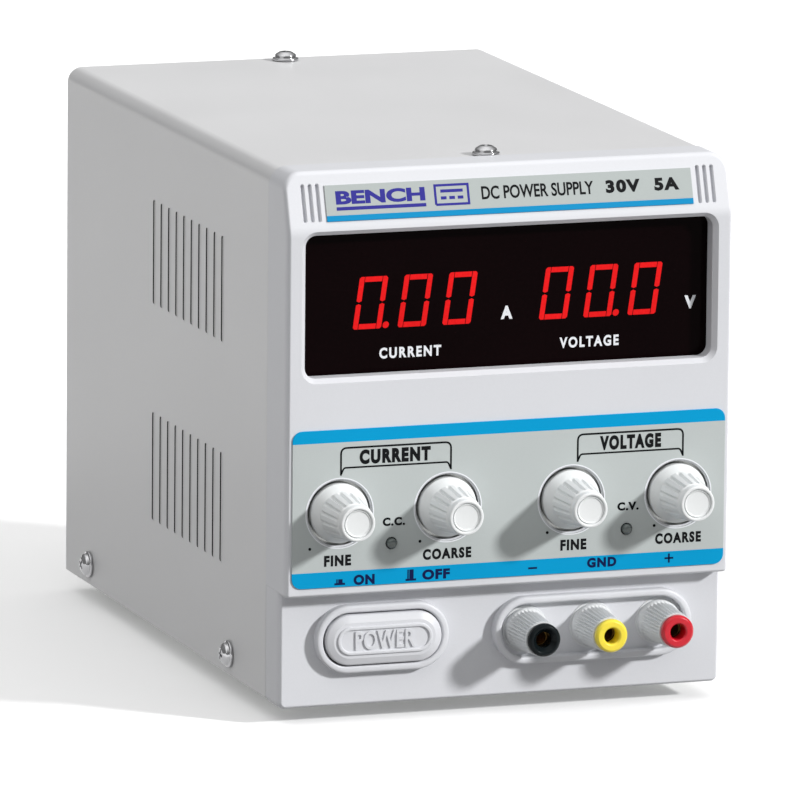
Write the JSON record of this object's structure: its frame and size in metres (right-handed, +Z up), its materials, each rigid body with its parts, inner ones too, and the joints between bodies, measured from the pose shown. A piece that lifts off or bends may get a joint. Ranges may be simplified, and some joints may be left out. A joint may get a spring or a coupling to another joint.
{
  "type": "bench power supply",
  "caption": "Compact bench DC power supply: grey steel case, off-white front with meters, knobs, power button, binding posts, and a rear fan and mains inlet.",
  "frame": {"origin": "centre of the bounding box, at the height of the feet's undersides", "axes": "+Z up, -Y towards the user (the front with the meters and knobs), +X to the right seen from the front"},
  "size_m": [0.1412, 0.2302, 0.1639],
  "materials": {
    "case": "light grey powder coat, fine texture",
    "bezel": "off-white moulded plastic, satin",
    "zinc": "zinc plated sheet steel",
    "chrome": "bright nickel plate",
    "overlay": "printed film, silver grey with blue bands",
    "window": "dark red tinted acrylic",
    "black": "moulded black plastic",
    "rubber": "matt rubber",
    "knob": "white moulded plastic, satin",
    "cap": "light grey moulded plastic, ribbed",
    "red": "red moulded plastic",
    "yellow": "yellow moulded plastic",
    "board": "green solder mask",
    "aluminium": "extruded aluminium",
    "iron": "varnished steel laminations",
    "copper": "enamelled copper wire",
    "brass": "turned brass",
    "led": "dark translucent lens, unlit"
  },
  "bodies": {
    "case": {"top_cover": "case", "front_bezel": "bezel", "chassis": "zinc", "front_frame": "zinc", "current_fine_pot": "zinc", "current_coarse_pot": "zinc", "voltage_coarse_pot": "zinc", "voltage_fine_pot": "zinc", "top_screw_front": "chrome", "top_screw_rear": "chrome", "side_screw_left_front": "chrome", "side_screw_left_rear": "chrome", "side_screw_right_front": "chrome", "side_screw_right_rear": "chrome", "fan_guard": "chrome", "control_overlay": "overlay", "name_strip": "overlay", "display_window": "window", "current_display": "black", "voltage_display": "black", "power_switch": "black", "fan_frame": "black", "mains_inlet": "black", "voltage_selector": "black", "filter_capacitor": "black", "bridge_rectifier": "black", "power_transistor": "black", "foot_front_left": "rubber", "foot_front_right": "rubber", "foot_rear_left": "rubber", "foot_rear_right": "rubber", "display_board": "board", "main_board": "board", "heatsink": "aluminium", "transformer_core": "iron", "transformer_coil": "copper", "negative_post_stud": "brass", "ground_post_stud": "brass", "positive_post_stud": "brass", "cc_led": "led", "cv_led": "led"},
    "current_fine_control": {"current_fine_knob": "knob", "current_fine_shaft": "aluminium"},
    "current_coarse_control": {"current_coarse_knob": "knob", "current_coarse_shaft": "aluminium"},
    "voltage_fine_control": {"voltage_fine_knob": "knob", "voltage_fine_shaft": "aluminium"},
    "voltage_coarse_control": {"voltage_coarse_knob": "knob", "voltage_coarse_shaft": "aluminium"},
    "power_button": {"power_button": "bezel", "switch_plunger": "bezel"},
    "negative_post_slider": {"negative_post_ring": "black"},
    "negative_post_grip": {"negative_post_cap": "cap"},
    "ground_post_slider": {"ground_post_ring": "yellow"},
    "ground_post_grip": {"ground_post_cap": "cap"},
    "positive_post_slider": {"positive_post_ring": "red"},
    "positive_post_grip": {"positive_post_cap": "cap"},
    "fan_rotor": {"fan_rotor": "black"},
    "selector_slider": {"selector_slider": "red"},
    "fuse_drawer": {"fuse_drawer": "black"}
  },
  "joints": [
    {"name": "current_fine_turn", "type": "hinge", "parent": "case", "child": "current_fine_control", "pos_m": [-0.05176, -0.09805, 0.063], "axis": [0, 1, 0], "range_deg": [0, 300]},
    {"name": "current_coarse_turn", "type": "hinge", "parent": "case", "child": "current_coarse_control", "pos_m": [-0.01891, -0.09805, 0.063], "axis": [0, 1, 0], "range_deg": [0, 300]},
    {"name": "voltage_fine_turn", "type": "hinge", "parent": "case", "child": "voltage_fine_control", "pos_m": [0.01891, -0.09805, 0.063], "axis": [0, 1, 0], "range_deg": [0, 300]},
    {"name": "voltage_coarse_turn", "type": "hinge", "parent": "case", "child": "voltage_coarse_control", "pos_m": [0.05176, -0.09805, 0.063], "axis": [0, 1, 0], "range_deg": [0, 300]},
    {"name": "power_button_press", "type": "slide", "parent": "case", "child": "power_button", "axis": [0, 1, 0], "range_m": [0, 0.0035], "stiffness_N_per_m": 400},
    {"name": "negative_post_lift", "type": "slide", "parent": "case", "child": "negative_post_slider", "axis": [0, -1, 0], "range_m": [0, 0.004]},
    {"name": "negative_post_unscrew", "type": "hinge", "parent": "negative_post_slider", "child": "negative_post_grip", "pos_m": [0.0074, -0.09205, 0.0243], "axis": [0, -1, 0], "range_deg": [0, 1800]},
    {"name": "ground_post_lift", "type": "slide", "parent": "case", "child": "ground_post_slider", "axis": [0, -1, 0], "range_m": [0, 0.004]},
    {"name": "ground_post_unscrew", "type": "hinge", "parent": "ground_post_slider", "child": "ground_post_grip", "pos_m": [0.028, -0.09205, 0.0243], "axis": [0, -1, 0], "range_deg": [0, 1800]},
    {"name": "positive_post_lift", "type": "slide", "parent": "case", "child": "positive_post_slider", "axis": [0, -1, 0], "range_m": [0, 0.004]},
    {"name": "positive_post_unscrew", "type": "hinge", "parent": "positive_post_slider", "child": "positive_post_grip", "pos_m": [0.0484, -0.09205, 0.0243], "axis": [0, -1, 0], "range_deg": [0, 1800]},
    {"name": "fan_spin", "type": "hinge", "parent": "case", "child": "fan_rotor", "pos_m": [0.022, 0.10005, 0.106], "axis": [0, 1, 0], "continuous": true},
    {"name": "voltage_select", "type": "slide", "parent": "case", "child": "selector_slider", "axis": [1, 0, 0], "range_m": [0, 0.007]},
    {"name": "fuse_drawer_pull", "type": "slide", "parent": "case", "child": "fuse_drawer", "axis": [0, 1, 0], "range_m": [0, 0.015]}
  ],
  "couplings": [
    {"joint": "negative_post_unscrew", "follows": "negative_post_lift", "rad_per_m": 7850},
    {"joint": "ground_post_unscrew", "follows": "ground_post_lift", "rad_per_m": 7850},
    {"joint": "positive_post_unscrew", "follows": "positive_post_lift", "rad_per_m": 7850}
  ]
}
